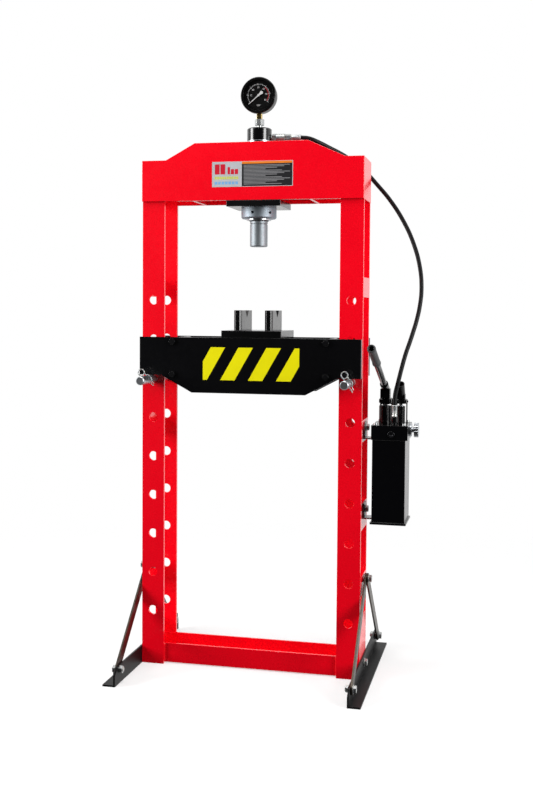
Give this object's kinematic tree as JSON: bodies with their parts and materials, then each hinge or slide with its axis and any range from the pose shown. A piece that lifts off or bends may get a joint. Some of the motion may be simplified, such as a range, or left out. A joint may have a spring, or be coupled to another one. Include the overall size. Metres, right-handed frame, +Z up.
{
  "type": "hydraulic shop press",
  "caption": "Floor-standing hydraulic shop press: red H frame, pinned height-adjustable bed with V-blocks, ram with pressure gauge and a side-mounted two-piston hand pump.",
  "frame": {"origin": "on the floor, at the middle of the bounding box of the press without its hose", "axes": "+X to the pump's side, +Y to the back, +Z up"},
  "size_m": [0.8265, 0.5964, 1.68],
  "materials": {
    "frame_red": "gloss red enamel",
    "foot_black": "satin black paint",
    "bed_black": "satin black paint",
    "pump_black": "gloss black paint",
    "brace_steel": "grey zinc finish",
    "bright_steel": "turned steel",
    "bolt_steel": "zinc-plated steel",
    "rod_chrome": "hard chrome",
    "brass": "plain brass",
    "gauge_black": "satin black",
    "dial_black": "matt black dial",
    "needle_white": "white enamel",
    "lens_glass": "clear",
    "label_film": "printed film",
    "stripe_yellow": "yellow film",
    "hose_rubber": "smooth black rubber",
    "grip_rubber": "moulded grip",
    "handle_steel": "black paint",
    "block_black": "black oxide with ground faces",
    "spring_steel": "drawn wire"
  },
  "bodies": {
    "frame": {"left_front_upright": "frame_red", "left_rear_upright": "frame_red", "right_front_upright": "frame_red", "right_rear_upright": "frame_red", "tie_plates": "frame_red", "crosshead_front_plate": "frame_red", "crosshead_rear_plate": "frame_red", "crosshead_cross_plates": "frame_red", "base_channel": "frame_red", "left_foot": "foot_black", "right_foot": "foot_black", "foot_braces": "brace_steel", "foot_bolts": "bolt_steel", "ram_mount_plate": "foot_black", "ram_barrel": "bright_steel", "ram_head": "pump_black", "ram_ring_nut": "bright_steel", "ram_gland": "bolt_steel", "return_spring": "spring_steel", "label_plate": "label_film", "gauge_adaptor": "bright_steel", "gauge_stem": "brass", "gauge_case": "gauge_black", "gauge_bezel": "gauge_black", "gauge_dial": "dial_black", "gauge_lens": "lens_glass", "hose_coupler": "bright_steel", "crimp_sleeves": "bright_steel", "hydraulic_hose": "hose_rubber", "pump_hose_fitting": "pump_black", "pump_reservoir": "pump_black", "pump_valve_block": "pump_black", "pump_barrels": "pump_black", "fulcrum_posts": "pump_black", "release_valve": "bright_steel", "filler_plug": "pump_black", "pump_brackets": "bright_steel", "bracket_bolts": "bolt_steel"},
    "ram": {"ram_rod": "rod_chrome", "ram_piston": "bolt_steel"},
    "bed": {"bed_front_plate": "bed_black", "bed_rear_plate": "bed_black", "bed_tie_bolts": "bed_black", "bed_spacers": "bolt_steel", "hazard_stripes": "stripe_yellow"},
    "left_pin": {"left_bed_pin": "bright_steel", "left_pin_clip": "bright_steel"},
    "right_pin": {"right_bed_pin": "bright_steel", "right_pin_clip": "bright_steel"},
    "slab": {"press_slab": "block_black"},
    "left_block": {"left_v_block": "block_black"},
    "right_block": {"right_v_block": "block_black"},
    "lever": {"pump_lever": "pump_black", "handle_tube": "handle_steel", "handle_grip": "grip_rubber"},
    "main_plunger": {"main_plunger": "bright_steel"},
    "second_lever": {"second_lever": "pump_black"},
    "small_plunger": {"small_plunger": "bright_steel"},
    "release_knob": {"release_knob": "bright_steel"},
    "gauge_needle": {"gauge_needle": "needle_white"}
  },
  "joints": [
    {"name": "ram_slide", "type": "slide", "parent": "frame", "child": "ram", "axis": [0, 0, -1], "range_m": [0, 0.16], "stiffness_N_per_m": 400, "springref_m": -0.12, "deforming": ["return_spring"]},
    {"name": "bed_height", "type": "slide", "parent": "frame", "child": "bed", "axis": [0, 0, 1], "range_m": [-0.672, 0]},
    {"name": "left_pin_pull", "type": "slide", "parent": "bed", "child": "left_pin", "axis": [0, -1, 0], "range_m": [0, 0.17]},
    {"name": "right_pin_pull", "type": "slide", "parent": "bed", "child": "right_pin", "axis": [0, -1, 0], "range_m": [0, 0.17]},
    {"name": "slab_slide", "type": "slide", "parent": "bed", "child": "slab", "axis": [1, 0, 0], "range_m": [-0.14, 0.14]},
    {"name": "left_block_slide", "type": "slide", "parent": "slab", "child": "left_block", "axis": [-1, 0, 0], "range_m": [-0.03, 0.03]},
    {"name": "right_block_slide", "type": "slide", "parent": "slab", "child": "right_block", "axis": [1, 0, 0], "range_m": [-0.03, 0.03]},
    {"name": "handle_pump", "type": "hinge", "parent": "frame", "child": "lever", "pos_m": [0.317, 0.04721, 0.7722], "axis": [1, 0, 0], "range_deg": [-28, 3]},
    {"name": "main_plunger_stroke", "type": "slide", "parent": "frame", "child": "main_plunger", "axis": [0, 0, 1], "range_m": [-0.003, 0.0175]},
    {"name": "second_lever_pump", "type": "hinge", "parent": "frame", "child": "second_lever", "pos_m": [0.3605, 0.04321, 0.7725], "axis": [1, 0, 0], "range_deg": [-20, 3]},
    {"name": "small_plunger_stroke", "type": "slide", "parent": "frame", "child": "small_plunger", "axis": [0, 0, 1], "range_m": [-0.002, 0.0108]},
    {"name": "release_turn", "type": "hinge", "parent": "frame", "child": "release_knob", "pos_m": [0.404, 0.01521, 0.696], "axis": [1, 0, 0], "range_deg": [0, 270]},
    {"name": "needle_turn", "type": "hinge", "parent": "frame", "child": "gauge_needle", "pos_m": [-0.049, 0.00021, 1.629], "axis": [0, 1, 0], "range_deg": [0, 254], "stiffness_Nm_per_rad": 0.002, "springref_deg": -17.19}
  ],
  "couplings": [
    {"joint": "main_plunger_stroke", "follows": "handle_pump", "m_per_rad": -0.0345},
    {"joint": "small_plunger_stroke", "follows": "second_lever_pump", "m_per_rad": -0.0292}
  ]
}
